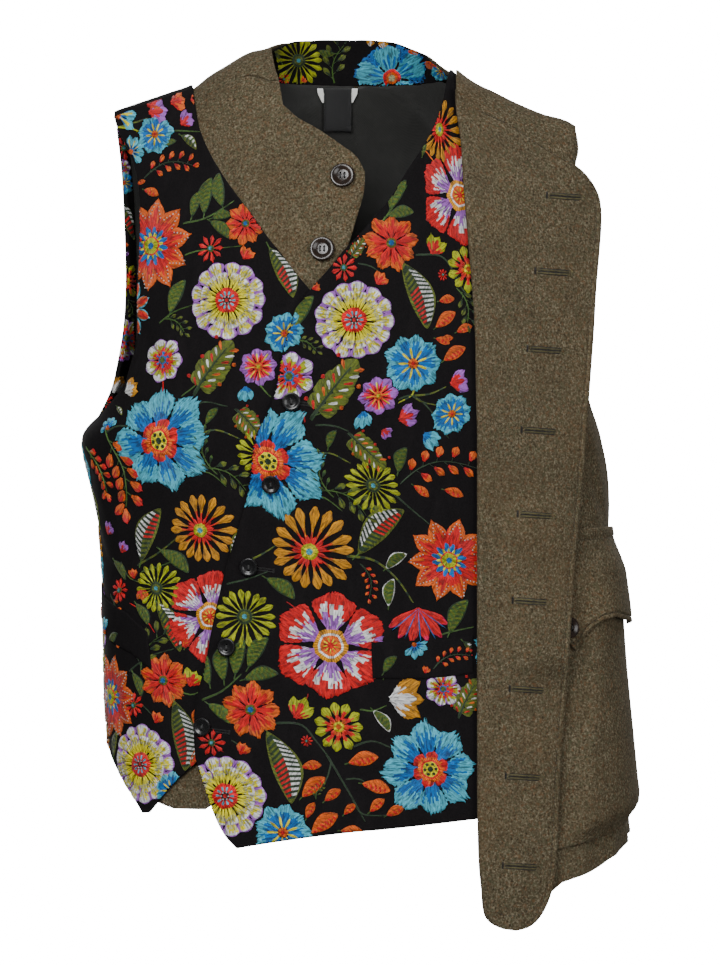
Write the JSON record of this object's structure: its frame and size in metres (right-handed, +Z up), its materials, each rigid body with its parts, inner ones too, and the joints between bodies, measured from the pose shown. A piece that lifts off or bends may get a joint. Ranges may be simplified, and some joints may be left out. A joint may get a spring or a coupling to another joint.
{
  "type": "embroidered waistcoat",
  "caption": "Sleeveless layered waistcoat, filled out as if worn: flower-embroidered velvet fronts over tweed ones, the outer tweed front folded back at the edge, flap pocket on the hip",
  "frame": {"origin": "Between the shoulders, on the line where the wearer carries the garment.", "axes": "+Z up as worn, -Y out of the wearer's chest, +X to the wearer's left."},
  "size_m": [0.4548, 0.2374, 0.7192],
  "materials": {
    "embroidered_velvet": "pile",
    "tweed": "woven wool",
    "lining": "satin",
    "label": "satin",
    "tape": "woven",
    "black_button": "gloss",
    "dark_horn": "satin"
  },
  "bodies": {
    "root": {"embroidered_left_front": "embroidered_velvet", "embroidered_right_front": "embroidered_velvet", "welt_left_front": "embroidered_velvet", "welt_right_front": "embroidered_velvet", "neck_facing": "embroidered_velvet", "armhole_facing_right": "embroidered_velvet", "tweed_right_front": "tweed", "tweed_left_front": "tweed", "tweed_left_turnback": "tweed", "tweed_back_right": "tweed", "tweed_back_left": "tweed", "bellows_pocket": "tweed", "pocket_flap": "tweed", "lining_back_right": "lining", "lining_back_left": "lining", "blank_label": "label", "hanger_loop": "tape", "horn_button_1": "dark_horn", "horn_button_2": "dark_horn", "flap_button": "dark_horn", "black_button_1": "black_button", "black_button_2": "black_button", "black_button_3": "black_button", "black_button_4": "black_button", "black_button_5": "black_button"}
  },
  "joints": []
}
